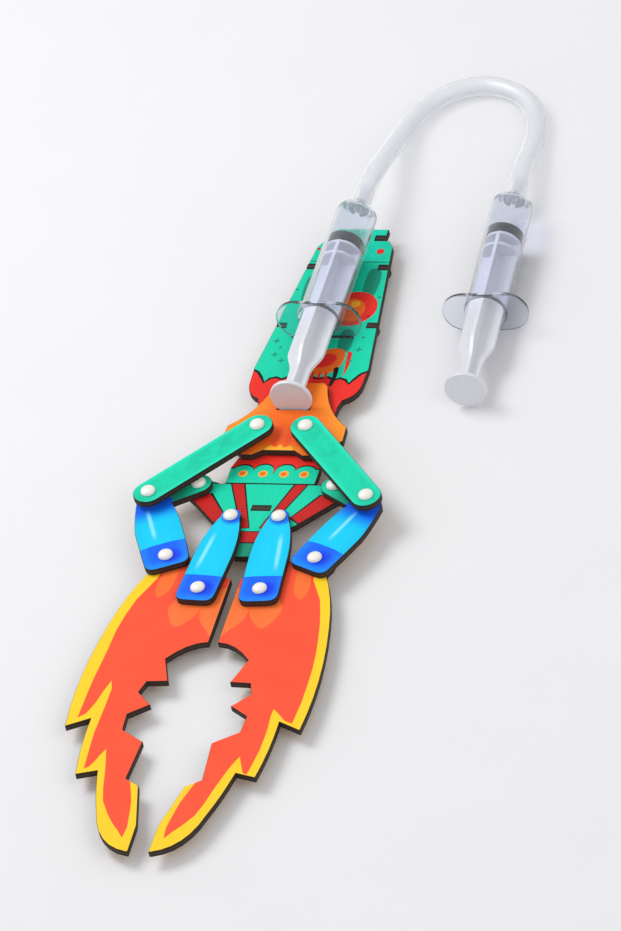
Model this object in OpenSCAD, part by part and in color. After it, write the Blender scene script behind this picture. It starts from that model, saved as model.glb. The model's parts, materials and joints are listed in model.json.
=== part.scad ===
// Hydraulic gripper arm: plywood plates on snap rivets, driven by two syringes
// and a clear hose. X is across the arm, +Y runs from the claw to the hose,
// Z = 0 is the table, and the origin is the middle of the head foot's underside.
// The claw is nearly shut at rest. Left pieces are mirrored right pieces.

/* [Plywood] */
// Thickness of every plywood plate
ply = 3; // [2.5:0.1:4]
// Air between two plates that slide on each other
plate_gap = 0.2; // [0.1:0.05:0.4]
// Height of the feet under the base plate
foot_h = 5; // [4:0.5:12]
// Play of a tenon in its slot, each side
tenon_play = 0.1; // [0.05:0.05:0.2]

/* [Rivets] */
// Diameter of a rivet's shank
rivet_d = 3; // [2.5:0.1:4]
// Diameter of a rivet's domed head
rivet_head_d = 6.4; // [6:0.1:8]
// Height of a rivet's domed head
rivet_head_h = 2; // [1.2:0.1:3]
// Diameter of the cap under a rivet
cap_d = 7; // [6:0.5:8]
// Height of the cap under a rivet
cap_h = 1.4; // [1:0.1:1.8]
// Diameter of the spacers that lift the links over the crank pivots' heads
spacer_d = 7; // [6:0.5:9]
// Air over the crank pivots' heads, under the links
head_air = 0.3; // [0.2:0.05:0.6]
// Radial play of a rivet in the plates that turn on it
pivot_play = 0.05; // [0.02:0.01:0.1]
// Radial play in the link's outer hole, which takes up the bars' slack
link_slack = 0.85; // [0.8:0.05:1.2]

/* [Linkage] */
// Half the distance between the slider's rivets
slider_pin_x = 10.5; // [9.5:0.5:12]
// Distance of the slider's rivets from the head foot
slider_pin_y = 41.5; // [40:0.5:44]
// Half the distance between the crank pivots
crank_pivot_x = 29.5; // [28:0.5:32]
// Distance of the crank pivots from the head foot
crank_pivot_y = 11; // [9:0.5:13]
// Half the distance between the finger pivots
finger_pivot_x = 10.5; // [10:0.5:12]
// Distance of the finger pivots in front of the head foot
finger_pivot_y = 8.5; // [7.5:0.5:10]
// Reach of cranks and fingers, pivot to jaw, towards the claw
finger_reach = 44.5; // [42:0.5:52]
// How far cranks and fingers lean outwards over that reach
finger_lean = 3; // [2:0.5:5]
// Crank's short arm, outwards from its pivot to the link
crank_arm_x = 18; // [16:0.5:20]
// Crank's short arm, towards the claw
crank_arm_y = 11.5; // [10:0.5:13]
// Width of the long links
link_w = 13; // [10:0.5:15]
// Width of a finger at the jaw
finger_w = 17; // [14:0.5:18]
// How far a finger runs past its jaw rivet
finger_end = 7.5; // [6.5:0.1:9]
// Width of a crank's blade at its widest
blade_w = 19.6; // [17:0.1:20.5]
// How far a crank's blade runs past its jaw rivet
blade_end = 7; // [6:0.1:8]
// Slider travel from rest to the open claw
travel_open = 9; // [6:0.5:9.5]
// Slider travel from rest to the shut claw
travel_shut = 0.5; // [0.2:0.1:0.6]

/* [Base plate] */
// Half width of the scalloped head
head_half_w = 19.5; // [17:0.5:21]
// Half width of the neck under the slider
neck_half_w = 17.5; // [16:0.5:19]
// Half width of the body at its widest
body_half_w = 25; // [21:0.5:30]
// Half width of the body at its rear end
tail_half_w = 16.5; // [14.5:0.5:19]
// Distance of the body's widest place from the head foot
body_y = 87; // [84:0.5:90]
// Distance of the body's rear edge from the head foot
tail_y = 166; // [162:0.5:172]
// Half width of the cross bar behind the tail
tail_bar_half_w = 12; // [10:0.5:14]
// Depth of the notches that hold the ribs' ends
notch_depth = 4.5; // [3:0.5:6]
// Distance of the flange rib from the head foot
flange_rib_y = 113.5; // [111:0.5:118]
// Distance of the middle rib from the head foot
middle_rib_y = 149.5; // [140:0.5:155]

/* [Syringes] */
// Outer diameter of a barrel
barrel_d = 18; // [16:0.5:20]
// Wall of a barrel
barrel_wall = 0.8; // [0.6:0.1:1.5]
// Length of a barrel from flange to shoulder
barrel_len = 68; // [60:0.5:76]
// Width of the finger flange
flange_w = 37; // [30:0.5:42]
// Height of the finger flange
flange_h = 20; // [18.5:0.1:22]
// Thickness of the finger flange
flange_t = 2; // [1.5:0.1:3]
// Length of the cone in front of the shoulder
cone_len = 4; // [3:0.5:6]
// Diameter of the cone's small end
cone_end_d = 8; // [7:0.5:9]
// Diameter of the nozzle
nozzle_d = 4.4; // [4:0.1:5]
// Length of the nozzle
nozzle_len = 10; // [6:0.5:12]
// Diameter of the nozzle's bore
nozzle_bore = 2; // [1.5:0.1:2.5]
// Diameter of the thumb disc
thumb_d = 18; // [15:0.1:21.6]
// Thickness of the thumb disc
thumb_t = 2; // [1.5:0.1:2.5]
// Distance from the thumb disc to the flange
plunger_out = 47; // [40:0.5:52]
// Distance from the flange to the seal's front
seal_y = 49; // [44:0.5:54]
// Length of the rubber seal
seal_len = 6.5; // [5:0.5:8]
// Running play between the seal or rod and the barrel
seal_play = 0.05; // [0.02:0.01:0.1]
// Thickness of the rod's crossed ribs
rod_rib_t = 1.6; // [1.2:0.1:2]
// Width of the rod's neck behind the thumb disc
rod_neck_w = 9; // [8:0.5:10]
// Play between the thumb disc and its slot in the slider
disc_play = 0.3; // [0.2:0.05:0.5]
// Distance of the arm syringe's flange from the head foot
arm_flange_y = 105.5; // [104:0.5:107]
// Place of the control syringe's flange across the arm
control_x = 68; // [60:0.5:80]
// Place of the control syringe's flange along the arm
control_y = 120; // [110:0.5:130]
// Turn of the control syringe towards the arm, in degrees
control_turn = 4; // [0:0.5:10]

/* [Hose] */
// Outer diameter of the hose
hose_d = 8.2; // [6.5:0.1:8.4]

/* [Hidden] */
$fn = 48;
tiny = 0.01;

// Heights of the plates: base and jaws, then slider and fingers, then links
base_z = foot_h;
base_top = base_z + ply;
mid_z = base_top + plate_gap;
mid_top = mid_z + ply;
rivet_seat_gap = 0.1;
link_z = mid_top + rivet_seat_gap + rivet_head_h + head_air;
link_top = link_z + ply;
spacer_h = link_z - plate_gap / 2 - mid_top;

// Pivots of the right side, rest pose
slider_pin = [slider_pin_x, slider_pin_y];
crank_pivot = [crank_pivot_x, crank_pivot_y];
finger_pivot = [finger_pivot_x, -finger_pivot_y];
reach = [finger_lean, -finger_reach];
link_pin = crank_pivot + [crank_arm_x, -crank_arm_y];
crank_jaw_pin = crank_pivot + reach;
finger_jaw_pin = finger_pivot + reach;

// Syringes
barrel_r = barrel_d / 2;
bore_r = barrel_r - barrel_wall;
arm_axis_z = base_top + barrel_r;
control_axis_z = max(thumb_d, flange_h) / 2;
thumb_y = arm_flange_y - plunger_out;
flange_arc_r = flange_h / 2;

// How wide a disc of radius r is, at a depth below its centre
function half_chord(r, depth) = sqrt(max(r * r - depth * depth, 0));

tail_corner = 4;

// Half width of the body plate at a distance from the head foot
function body_edge(y) =
    body_half_w + (tail_half_w - body_half_w) * (y - body_y) / (tail_y - tail_corner - body_y);

// Points of an arc, and of a soft bend from a to c that leans to b
function arc(centre, r, from, to, steps = 8) =
    [for (i = [0:steps]) centre + r * [cos(from + (to - from) * i / steps),
                                       sin(from + (to - from) * i / steps)]];
function bend(a, b, c, steps = 6) =
    [for (i = [0:steps]) let (t = i / steps)
        (1 - t) * (1 - t) * a + 2 * t * (1 - t) * b + t * t * c];
function mirrored(points) = [for (i = [len(points) - 1:-1:0]) [-points[i][0], points[i][1]]];

// Places of the parts' own joints on both sides of the arm
module both_sides() {
    children();
    mirror([1, 0, 0]) children();
}

module at(place, z = 0) {
    translate([place[0], place[1], z]) children();
}

module plate(z) {
    translate([0, 0, z]) linear_extrude(ply) children();
}

// A through hole for a rivet's shank, with its radial play
module rivet_hole(place, z, play = 0) {
    at(place, z - tiny) cylinder(h = ply + 2 * tiny, r = rivet_d / 2 + play);
}

// Rivet with a domed head whose flat side lies at seat, and a shank down to foot
module rivet(place, seat, foot) {
    dome_r = (rivet_head_d * rivet_head_d / 4 + rivet_head_h * rivet_head_h) / (2 * rivet_head_h);
    at(place, 0) {
        translate([0, 0, seat + rivet_seat_gap]) rotate_extrude() intersection() {
            translate([0, rivet_head_h - dome_r]) circle(r = dome_r, $fn = 96);
            square([rivet_head_d / 2, rivet_head_h]);
        }
        translate([0, 0, foot]) cylinder(h = seat + rivet_seat_gap - foot + tiny, r = rivet_d / 2);
    }
}

// Cap pressed on a rivet's foot, its flat side at seat
module rivet_cap(place, seat) {
    at(place, seat - cap_h) difference() {
        cylinder(h = cap_h, d1 = cap_d - cap_h, d2 = cap_d);
        translate([0, 0, -tiny]) cylinder(h = cap_h + 2 * tiny, r = rivet_d / 2);
    }
}

// Spacer ring round a rivet's shank, standing on the slider or the crank
module spacer(place) {
    at(place, mid_top) difference() {
        cylinder(h = spacer_h, d = spacer_d);
        translate([0, 0, -tiny]) cylinder(h = spacer_h + 2 * tiny, r = rivet_d / 2);
    }
}

// ---- Base plate and its ribs ----

ear_r = 6.5;
nose_half_w = 4.5;
nose_y = finger_pivot_y + 21.5;
chin_y = finger_pivot_y + 7.5;
head_y = slider_pin_y - 16.5;
lobe_half_w = body_half_w - 0.2;
tail_neck_half_w = 7.5;
tail_gap = ply + 2 * tenon_play;
tail_bar = 4;
rear_rib_y = tail_y + tail_gap / 2;

base_right = concat(
    [[0, -nose_y], [nose_half_w, -nose_y], [nose_half_w, -chin_y - 1]],
    bend([nose_half_w, -chin_y], [finger_pivot_x, -chin_y], [finger_pivot_x + 7, -finger_pivot_y - 2], 4),
    [[crank_pivot_x + 0.5, crank_pivot_y - 8]],
    arc(crank_pivot, ear_r, -30, 120),
    [[head_half_w + 1.5, crank_pivot_y + 3.5], [head_half_w, crank_pivot_y + 4], [head_half_w, head_y]],
    [[head_half_w - 1, head_y + 3], [neck_half_w, head_y + 6], [neck_half_w, body_y - 24]],
    bend([neck_half_w + 1, body_y - 20], [lobe_half_w, body_y - 17], [lobe_half_w, body_y - 9], 5),
    [[body_half_w, body_y], [tail_half_w, tail_y - tail_corner], [tail_half_w - 2.5, tail_y]],
    [[tail_neck_half_w, tail_y], [tail_neck_half_w, tail_y + tail_gap]],
    [[tail_bar_half_w, tail_y + tail_gap], [tail_bar_half_w, tail_y + tail_gap + tail_bar]],
    [[0, tail_y + tail_gap + tail_bar]]);

disc_slot_half_w = half_chord(thumb_d / 2 + 1, arm_axis_z - base_top) + 0.5;
flange_slot_half_w =
    flange_w / 2 - flange_arc_r + half_chord(flange_arc_r, arm_axis_z - base_top) + 0.6;
guide_slot_w = rivet_d + 2 * pivot_play;
head_tenon_w = 8;

module rib_notch(y) {
    half_w = body_edge(y);
    both_sides() translate([half_w - notch_depth, y - ply / 2 - tenon_play])
        square([notch_depth + 5, ply + 2 * tenon_play]);
}

module base_plate() {
    color("mediumspringgreen") difference() {
        plate(base_z) difference() {
            polygon(concat(base_right, mirrored(base_right)));
            // Opening for the thumb disc
            translate([-disc_slot_half_w, thumb_y - thumb_t / 2 - travel_shut - 1])
                square([2 * disc_slot_half_w, thumb_t + travel_open + travel_shut + 2]);
            // Slot that traps the syringe's flange
            translate([-flange_slot_half_w, arm_flange_y - tenon_play])
                square([2 * flange_slot_half_w, flange_t + 2 * tenon_play]);
            // Slot for the head foot's tenon
            square([head_tenon_w + 2 * tenon_play, ply + 2 * tenon_play], center = true);
            rib_notch(flange_rib_y);
            rib_notch(middle_rib_y);
        }
        both_sides() {
            rivet_hole(crank_pivot, base_z);
            rivet_hole(finger_pivot, base_z);
            // Guide slot that the slider's rivet runs in
            for (y = [slider_pin_y - travel_shut, slider_pin_y + travel_open])
                rivet_hole([slider_pin_x, y], base_z, pivot_play);
            translate([slider_pin_x - guide_slot_w / 2, slider_pin_y - travel_shut, base_z - tiny])
                cube([guide_slot_w, travel_open + travel_shut, ply + 2 * tiny]);
        }
    }
}

module head_foot() {
    head_foot_half_w = 14;
    color("burlywood") translate([0, ply / 2, 0]) rotate([90, 0, 0]) linear_extrude(ply) {
        translate([-head_foot_half_w, 0]) square([2 * head_foot_half_w, foot_h]);
        translate([-head_tenon_w / 2, 0]) square([head_tenon_w, foot_h + ply]);
    }
}

// Cross rib: two feet, and a tenon up through the plate's notch at each end
module rib(y, half_w, tenon_w) {
    arch_w = 20;
    arch_h = 1.6;
    bevel = 3.4;
    translate([0, y + ply / 2, 0]) rotate([90, 0, 0]) linear_extrude(ply) difference() {
        union() {
            polygon([[bevel - half_w, 0], [half_w - bevel, 0], [half_w, bevel], [half_w, foot_h],
                [-half_w, foot_h], [-half_w, bevel]]);
            both_sides() translate([half_w - tenon_w, foot_h - 1]) square([tenon_w, ply + 1]);
        }
        translate([-arch_w / 2, -1]) square([arch_w, arch_h + 1]);
    }
}

module flange_rib() {
    color("burlywood")
        rib(flange_rib_y, body_edge(flange_rib_y), notch_depth - tenon_play);
}

module middle_rib() {
    color("burlywood")
        rib(middle_rib_y, body_edge(middle_rib_y), notch_depth - tenon_play);
}

module rear_rib() {
    color("burlywood")
        rib(rear_rib_y, tail_bar_half_w, tail_bar_half_w - tail_neck_half_w - tenon_play);
}

module base_rivets() {
    color("white") both_sides() {
        rivet(crank_pivot, mid_top, base_z - cap_h);
        rivet(finger_pivot, mid_top, base_z - cap_h);
    }
}

module base_rivet_caps() {
    color("white") both_sides() {
        rivet_cap(crank_pivot, base_z);
        rivet_cap(finger_pivot, base_z);
    }
}

// ---- Slider ----

slider_right = concat(
    [[0, slider_pin_y - 9.5], [7, slider_pin_y - 9.5], [11, slider_pin_y - 12.5]],
    [[15.5, slider_pin_y - 12.5], [26.5, slider_pin_y - 3], [26, slider_pin_y + 5.5]],
    bend([25.5, slider_pin_y + 6], [15, slider_pin_y + 14.5], [11.5, slider_pin_y + 30.5]),
    [[9.5, slider_pin_y + 32.5], [0, slider_pin_y + 32.5]]);

module slider() {
    disc_half_w = half_chord(thumb_d / 2, arm_axis_z - mid_top) + disc_play;
    color("orange") difference() {
        plate(mid_z) difference() {
            polygon(concat(slider_right, mirrored(slider_right)));
            translate([-disc_half_w, thumb_y - thumb_t / 2 - disc_play])
                square([2 * disc_half_w, thumb_t + 2 * disc_play]);
        }
        both_sides() rivet_hole(slider_pin, mid_z);
    }
}

module slider_rivets() {
    color("white") both_sides() rivet(slider_pin, link_top, base_z - plate_gap - cap_h);
}

module slider_rivet_caps() {
    color("white") both_sides() rivet_cap(slider_pin, base_z - plate_gap);
}

module slider_spacers() {
    color("white") both_sides() spacer(slider_pin);
}

// ---- Links, cranks and fingers of the right side ----

module link() {
    along = link_pin - slider_pin;
    heading = atan2(along[1], along[0]);
    color("mediumturquoise") difference() {
        plate(link_z) polygon(concat(
            arc(link_pin, link_w / 2, heading - 90, heading + 90, 14),
            arc(slider_pin, link_w / 2, heading + 90, heading + 270, 14)));
        rivet_hole(slider_pin, link_z, pivot_play);
        rivet_hole(link_pin, link_z, link_slack);
    }
}

crank_boss_r = 5.5;
finger_corner = 4.5;

module crank() {
    blade = crank_jaw_pin - link_pin;
    blade_len = norm(blade);
    arm_angle = atan2(-crank_arm_y, crank_arm_x);
    color("dodgerblue") difference() {
        union() {
            plate(mid_z) {
                translate(crank_pivot) circle(r = crank_boss_r);
                translate(link_pin) circle(r = crank_boss_r);
                translate(crank_pivot) rotate(arm_angle) translate([0, -crank_boss_r])
                    square([norm([crank_arm_x, crank_arm_y]), 2 * crank_boss_r]);
            }
            // Blade from the link's rivet to the jaw
            plate(mid_z) translate(crank_jaw_pin) rotate(atan2(blade[0], -blade[1]))
                polygon(concat(
                    bend([blade_w / 2, finger_corner - blade_end], [blade_w / 2, -blade_end],
                         [blade_w / 2 - finger_corner, -blade_end], 4),
                    bend([finger_corner - blade_w / 2, -blade_end], [0.6 - blade_w / 2, -blade_end],
                         [0.4 - blade_w / 2, finger_corner - blade_end], 4),
                    [[-blade_w / 2, 6]],
                    bend([-blade_w / 2, 16], [-blade_w / 2, blade_len - 10], [-8, blade_len - 3], 4),
                    bend([5.7, blade_len + 2], [blade_w / 2 - 0.6, blade_len - 10],
                         [blade_w / 2 + 0.2, blade_len / 2], 5),
                    [[blade_w / 2 + 0.2, 6]]));
        }
        rivet_hole(crank_pivot, mid_z, pivot_play);
        rivet_hole(link_pin, mid_z);
        rivet_hole(crank_jaw_pin, mid_z, pivot_play);
    }
}

module finger() {
    finger_len = norm(reach);
    half_w = finger_w / 2;
    finger_boss_r = 4.4;
    finger_neck = finger_boss_r - 0.4;
    color("deepskyblue") difference() {
        union() {
            plate(mid_z) translate(finger_pivot) circle(r = finger_boss_r);
            plate(mid_z) translate(finger_jaw_pin) rotate(atan2(reach[0], -reach[1]))
                polygon(concat(
                    bend([half_w, finger_corner - finger_end], [half_w, -finger_end],
                         [half_w - finger_corner, -finger_end], 4),
                    bend([finger_corner - half_w, -finger_end], [-half_w, -finger_end],
                         [-half_w, finger_corner - finger_end], 4),
                    bend([-half_w, finger_len / 3], [-half_w - 0.4, finger_len - 12],
                         [-finger_neck, finger_len]),
                    bend([finger_neck, finger_len], [half_w + 0.4, finger_len - 12],
                         [half_w, finger_len / 3])));
        }
        rivet_hole(finger_pivot, mid_z, pivot_play);
        rivet_hole(finger_jaw_pin, mid_z, pivot_play);
    }
}

// Rivet through crank and link, which rides in the crank
module crank_rivet() {
    color("white") rivet(link_pin, link_top, mid_z - cap_h);
}

module crank_rivet_cap() {
    color("white") rivet_cap(link_pin, mid_z);
}

module crank_spacer() {
    color("white") spacer(link_pin);
}

// ---- Right jaw: a flame shape, drawn from its finger pivot ----

jaw_gap_half = 2;
jaw_boss_r = 8;
jaw_inner_x = jaw_gap_half - finger_jaw_pin[0];
jaw_right = concat(
    [[jaw_inner_x, 9], [jaw_inner_x, -29.5]],
    bend([jaw_inner_x, -29.5], [-3, -30], [4.5, -40], 4),
    [[0, -53.5], [9, -54], [11, -60.5], [4, -68], [12.5, -74], [12, -83.5], [1.5, -90.5], [3, -113]],
    [[-3.5, -117], [-8.8, -141], [-9, -157]],
    bend([-8, -157], [6, -154], [10.5, -134]),
    bend([10.5, -134], [14, -123], [16.5, -108.5], 4),
    [[25.5, -111]],
    bend([25.5, -111], [28, -95], [27.5, -77], 4),
    [[37.5, -82]],
    bend([37.5, -82], [40.5, -52], [34.5, -19]),
    bend([34.5, -19], [31.5, -1], [25, 13], 4),
    arc(crank_pivot - finger_pivot, jaw_boss_r, -40, 140));

module jaw() {
    color("tomato") difference() {
        plate(base_z) translate(finger_jaw_pin) polygon(jaw_right);
        rivet_hole(crank_jaw_pin, base_z);
        rivet_hole(finger_jaw_pin, base_z);
    }
}

module jaw_rivets() {
    color("white") {
        rivet(crank_jaw_pin, mid_top, base_z - cap_h);
        rivet(finger_jaw_pin, mid_top, base_z - cap_h);
    }
}

module jaw_rivet_caps() {
    color("white") {
        rivet_cap(crank_jaw_pin, base_z);
        rivet_cap(finger_jaw_pin, base_z);
    }
}

// ---- Syringes, drawn along +Y from the flange's rear face ----

module along_y() {
    rotate([-90, 0, 0]) children();
}

module at_arm() {
    translate([0, arm_flange_y, arm_axis_z]) children();
}

module at_control() {
    translate([control_x, control_y, control_axis_z]) rotate(control_turn) children();
}

module barrel() {
    cone_base_r = barrel_r - 2;
    color("whitesmoke", 0.4) along_y() difference() {
        union() {
            linear_extrude(flange_t) {
                square([flange_w - flange_h, flange_h], center = true);
                both_sides() translate([flange_w / 2 - flange_arc_r, 0]) circle(r = flange_arc_r);
            }
            cylinder(h = barrel_len - 2, r = barrel_r);
            translate([0, 0, barrel_len - 2]) cylinder(h = 2, r1 = barrel_r, r2 = cone_base_r);
            translate([0, 0, barrel_len]) cylinder(h = cone_len, r1 = cone_base_r, d2 = cone_end_d);
            translate([0, 0, barrel_len]) cylinder(h = cone_len + nozzle_len, d = nozzle_d);
        }
        translate([0, 0, -tiny]) cylinder(h = barrel_len - 2, r = bore_r);
        cylinder(h = barrel_len + cone_len + nozzle_len + tiny, d = nozzle_bore);
    }
}

rod_r = bore_r - 0.4;
rod_full_y = 26;
rod_neck_y = 16;

module plunger() {
    rod_len = plunger_out + seal_y - seal_len;
    cross_right = [[0, 0], [rod_neck_w / 2 + 1, 0], [rod_neck_w / 2, thumb_t + 3], [rod_neck_w / 2, rod_neck_y],
                   [rod_r, rod_full_y], [rod_r, rod_len], [0, rod_len]];
    color("gainsboro") translate([0, -plunger_out, 0]) {
        translate([0, -thumb_t / 2, 0]) along_y() cylinder(h = thumb_t, d = thumb_d);
        for (turn = [0, 90]) rotate([0, turn, 0]) translate([0, 0, -rod_rib_t / 2])
            linear_extrude(rod_rib_t) polygon(concat(cross_right, mirrored(cross_right)));
        for (y = [rod_len - 8, rod_len - 1.5])
            translate([0, y, 0]) along_y() cylinder(h = 1.5, r = rod_r);
        // Stem that the seal is pressed on
        translate([0, rod_len - tiny, 0]) along_y() cylinder(h = seal_len / 2, d = rod_neck_w / 2);
    }
}

module seal() {
    seal_r = bore_r - seal_play;
    color("#222222") translate([0, seal_y - seal_len, 0]) along_y() difference() {
        rotate_extrude() polygon([[0, 0], [seal_r, 0], [seal_r, 1.5], [seal_r - 0.5, 2],
            [seal_r - 0.5, seal_len - 3], [seal_r, seal_len - 2.5], [seal_r, seal_len - 1.2],
            [seal_r - 0.6, seal_len - 0.8], [0, seal_len]]);
        translate([0, 0, -tiny]) cylinder(h = seal_len / 2, d = rod_neck_w / 2);
    }
}

module arm_barrel() { at_arm() barrel(); }
module arm_plunger() { at_arm() plunger(); }
module arm_seal() { at_arm() seal(); }
module control_barrel() { at_control() barrel(); }
module control_plunger() { at_control() plunger(); }
module control_seal() { at_control() seal(); }

// ---- Hose: out of the arm's cone, down to the table, round, and up to the other cone ----

hose_route = [
    [0, 177.5, 17], [0, 184, 17], [0, 190.5, 16.7], [0.2, 198, 15.7], [0.4, 206, 14],
    [0.7, 214, 11.8], [1, 222, 9.5], [1.3, 230, 7.2], [2, 238, 5.4], [3.5, 246, 4.4],
    [7.2, 254.5, 4.2], [13.5, 261.8, 4.2], [21.5, 266.3, 4.2], [30.5, 268, 4.2],
    [39.5, 266.3, 4.2], [47.5, 261.8, 4.2], [53.8, 254.5, 4.2], [57.5, 246, 4.2],
    [59.3, 238, 4.4], [60, 230.5, 5.1], [60.6, 223.5, 6.4], [61, 216.5, 8.1],
    [61.5, 210, 9.4], [62, 204, 9.9], [62.5, 198, 10], [62.98, 191.8, 10]];

function unit(v) = v / norm(v);
function route_way(i) = unit(hose_route[min(i + 1, len(hose_route) - 1)] - hose_route[max(i - 1, 0)]);
function ring(i, r, sides) =
    let (side = unit(cross(route_way(i), [0, 0, 1])), up = cross(side, route_way(i)))
    [for (k = [0:sides - 1]) hose_route[i] + r * (cos(360 * k / sides) * side + sin(360 * k / sides) * up)];

module hose() {
    sides = 12;
    last = len(hose_route) - 1;
    points = [for (i = [0:last]) each ring(i, hose_d / 2, sides)];
    walls = [for (i = [0:last - 1]) for (k = [0:sides - 1])
        [i * sides + k, i * sides + (k + 1) % sides, (i + 1) * sides + (k + 1) % sides, (i + 1) * sides + k]];
    ends = [[for (k = [sides - 1:-1:0]) k], [for (k = [0:sides - 1]) last * sides + k]];
    color("white", 0.4) polyhedron(points, concat(walls, ends));
}

// ---- Left and right pieces ----

module left() { mirror([1, 0, 0]) children(); }

module link_right() { link(); }
module link_left() { left() link(); }
module crank_right() { crank(); }
module crank_left() { left() crank(); }
module crank_rivet_right() { crank_rivet(); }
module crank_rivet_left() { left() crank_rivet(); }
module crank_rivet_cap_right() { crank_rivet_cap(); }
module crank_rivet_cap_left() { left() crank_rivet_cap(); }
module crank_spacer_right() { crank_spacer(); }
module crank_spacer_left() { left() crank_spacer(); }
module finger_right() { finger(); }
module finger_left() { left() finger(); }
module jaw_right_plate() { jaw(); }
module jaw_left_plate() { left() jaw(); }
module jaw_rivets_right() { jaw_rivets(); }
module jaw_rivets_left() { left() jaw_rivets(); }
module jaw_rivet_caps_right() { jaw_rivet_caps(); }
module jaw_rivet_caps_left() { left() jaw_rivet_caps(); }

base_plate();
head_foot();
flange_rib();
middle_rib();
rear_rib();
base_rivets();
base_rivet_caps();
arm_barrel();
control_barrel();
hose();
slider();
slider_rivets();
slider_rivet_caps();
slider_spacers();
arm_plunger();
arm_seal();
control_plunger();
control_seal();
link_left();
link_right();
crank_left();
crank_right();
crank_rivet_left();
crank_rivet_right();
crank_rivet_cap_left();
crank_rivet_cap_right();
crank_spacer_left();
crank_spacer_right();
finger_left();
finger_right();
jaw_left_plate();  // jaw_left
jaw_right_plate();  // jaw_right
jaw_rivets_left();
jaw_rivets_right();
jaw_rivet_caps_left();
jaw_rivet_caps_right();
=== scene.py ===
import json
import math

import bmesh
import bpy
from bpy.props import FloatProperty, FloatVectorProperty, PointerProperty
from bpy.types import Operator, Panel, PropertyGroup
from mathutils import Matrix, Vector
from mathutils.geometry import delaunay_2d_cdt


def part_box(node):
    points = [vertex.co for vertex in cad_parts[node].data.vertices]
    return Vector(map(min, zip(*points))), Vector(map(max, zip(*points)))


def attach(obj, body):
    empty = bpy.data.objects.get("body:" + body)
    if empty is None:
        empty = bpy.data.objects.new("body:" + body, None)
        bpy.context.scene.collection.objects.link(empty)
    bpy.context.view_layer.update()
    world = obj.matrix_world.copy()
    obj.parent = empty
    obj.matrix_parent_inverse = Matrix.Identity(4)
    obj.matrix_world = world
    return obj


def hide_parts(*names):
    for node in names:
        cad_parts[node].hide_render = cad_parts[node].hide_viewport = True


bl_info = {
    "name": "Hydraulic gripper arm",
    "version": (1, 0, 0),
    "blender": (4, 5, 0),
    "location": "3D View > Sidebar > Gripper Arm",
    "description": "Builds the printed plywood gripper arm round its packed frame",
    "category": "Object",
}

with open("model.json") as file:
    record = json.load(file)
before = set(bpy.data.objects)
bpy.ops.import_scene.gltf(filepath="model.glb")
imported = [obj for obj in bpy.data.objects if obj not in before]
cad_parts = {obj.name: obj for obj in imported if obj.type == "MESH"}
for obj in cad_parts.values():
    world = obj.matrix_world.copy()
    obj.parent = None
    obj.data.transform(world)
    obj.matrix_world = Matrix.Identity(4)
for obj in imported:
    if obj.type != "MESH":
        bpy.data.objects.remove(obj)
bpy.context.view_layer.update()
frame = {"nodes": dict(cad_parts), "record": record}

MM = 0.001
BODY_OF = {
    node: body
    for body, nodes in frame["record"]["behaviour"]["bodies"].items()
    for node in nodes
}
SIDES = {"right": 1, "left": -1}

# Pivots of the right side, in millimetres
SLIDER_PIN = Vector((10.5, 41.5))
CRANK_PIVOT = Vector((29.5, 11.0))
FINGER_PIVOT = Vector((10.5, -8.5))
LINK_PIN = Vector((47.5, -0.5))
CRANK_JAW_PIN = Vector((32.5, -33.5))
FINGER_JAW_PIN = Vector((13.5, -53.0))

# Heights of the seats that rivets, caps and spacers lie on
BASE_Z = 5.0
MID_Z = 8.2
MID_TOP = 11.2
LINK_TOP = 16.6
SEAT_GAP = 0.1
PLATE_GAP = 0.2


def srgb(red, green, blue):
    """A colour written in 0 to 255, as the linear one that shaders use."""
    return tuple(
        c / 255 / 12.92 if c <= 10 else ((c / 255 + 0.055) / 1.055) ** 2.4
        for c in (red, green, blue)
    )


def colour_prop(name, description, default):
    return FloatVectorProperty(
        name=name, description=description, default=default, size=3, min=0, max=1, subtype="COLOR"
    )


# ---- What a user would change ----


class ArmPrint(PropertyGroup):
    """Colours of the print on the plywood, some of which also serve painted shadows and painted highlights."""

    green: colour_prop("Green", "Body, head and links", srgb(16, 214, 172))
    deep_green: colour_prop("Deep green", "Nose and shaded panels", srgb(24, 148, 118))
    red: colour_prop("Red", "Neck, lobes and bands", srgb(240, 46, 36))
    dark_red: colour_prop("Dark red", "Stripes on the head", srgb(198, 30, 26))
    orange: colour_prop("Orange", "Slider and dots", srgb(252, 112, 34))
    yellow: colour_prop("Yellow", "Edges of slider and dots", srgb(255, 178, 46))
    cyan: colour_prop("Cyan", "Fingers and blades", srgb(4, 206, 250))
    blue: colour_prop("Blue", "Ends of fingers and blades", srgb(14, 100, 248))
    flame_red: colour_prop("Flame red", "Inside of the jaws", srgb(255, 84, 52))
    flame_orange: colour_prop("Flame orange", "Tongues on the jaws", srgb(255, 118, 58))
    flame_yellow: colour_prop("Flame yellow", "Border of the jaws", srgb(255, 210, 36))
    # Colour of the painted highlight streaks on fingers and blades
    painted_highlight: colour_prop("Gleam", "Streaks on fingers and blades", srgb(146, 238, 254))
    ink: colour_prop("Ink", "Outlines and marks", srgb(24, 20, 22))


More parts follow.
